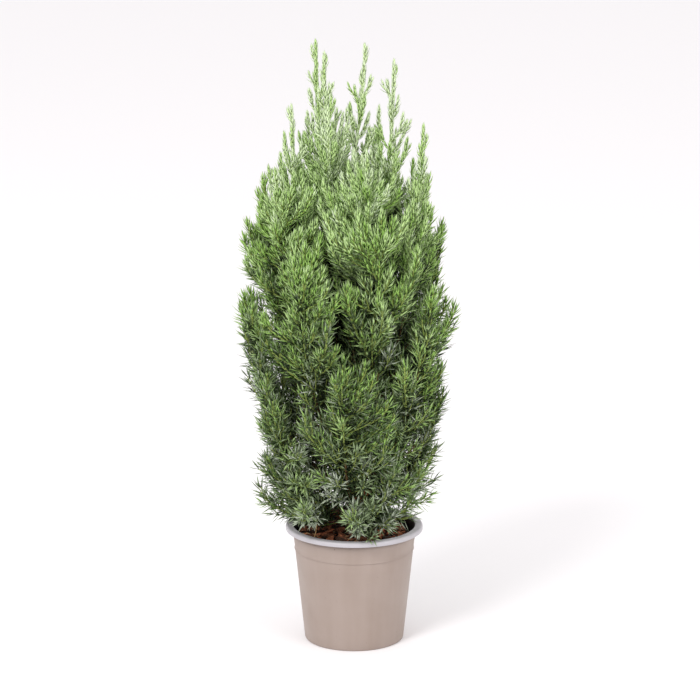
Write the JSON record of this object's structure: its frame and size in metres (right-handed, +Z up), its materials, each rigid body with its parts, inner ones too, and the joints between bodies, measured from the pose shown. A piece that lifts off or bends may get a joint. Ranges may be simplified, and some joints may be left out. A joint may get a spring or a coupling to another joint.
{
  "type": "potted chinese juniper",
  "caption": "Young upright evergreen shrub with needle foliage in steep plumes round one stem, in a tapered round nursery pot with a rolled rim and bark-topped potting mix.",
  "frame": {"origin": "middle of the pot's flat underside, which stands on the ground", "axes": "+Z up along the pot's axis; the front is towards -Y and the crown's fuller side towards -X"},
  "size_m": [0.2149, 0.2097, 0.566],
  "materials": {
    "pot": "satin",
    "potting_mix": "matte",
    "bark": "matte",
    "foliage_low": "matte",
    "foliage_side": "matte",
    "foliage_top": "matte"
  },
  "bodies": {
    "root": {"pot": "pot", "potting_mix": "potting_mix", "trunk": "bark", "bough_low_1": "bark", "foliage_low_1": "foliage_low", "bough_low_2": "bark", "foliage_low_2": "foliage_low", "bough_low_3": "bark", "foliage_low_3": "foliage_low", "bough_low_4": "bark", "foliage_low_4": "foliage_low", "bough_low_5": "bark", "foliage_low_5": "foliage_low", "bough_low_6": "bark", "foliage_low_6": "foliage_low", "bough_low_7": "bark", "foliage_low_7": "foliage_low", "bough_low_8": "bark", "foliage_low_8": "foliage_low", "bough_side_1": "bark", "foliage_side_1": "foliage_side", "bough_side_2": "bark", "foliage_side_2": "foliage_side", "bough_side_3": "bark", "foliage_side_3": "foliage_side", "bough_side_4": "bark", "foliage_side_4": "foliage_side", "bough_side_5": "bark", "foliage_side_5": "foliage_side", "bough_side_6": "bark", "foliage_side_6": "foliage_side", "bough_side_7": "bark", "foliage_side_7": "foliage_side", "bough_side_8": "bark", "foliage_side_8": "foliage_side", "bough_side_9": "bark", "foliage_side_9": "foliage_side", "bough_top_1": "bark", "foliage_top_1": "foliage_top", "bough_top_2": "bark", "foliage_top_2": "foliage_top", "bough_top_3": "bark", "foliage_top_3": "foliage_top", "bough_top_4": "bark", "foliage_top_4": "foliage_top", "bough_top_5": "bark", "foliage_top_5": "foliage_top", "bough_top_6": "bark", "foliage_top_6": "foliage_top", "bough_top_7": "bark", "foliage_top_7": "foliage_top", "foliage_leader": "foliage_top"}
  },
  "joints": []
}
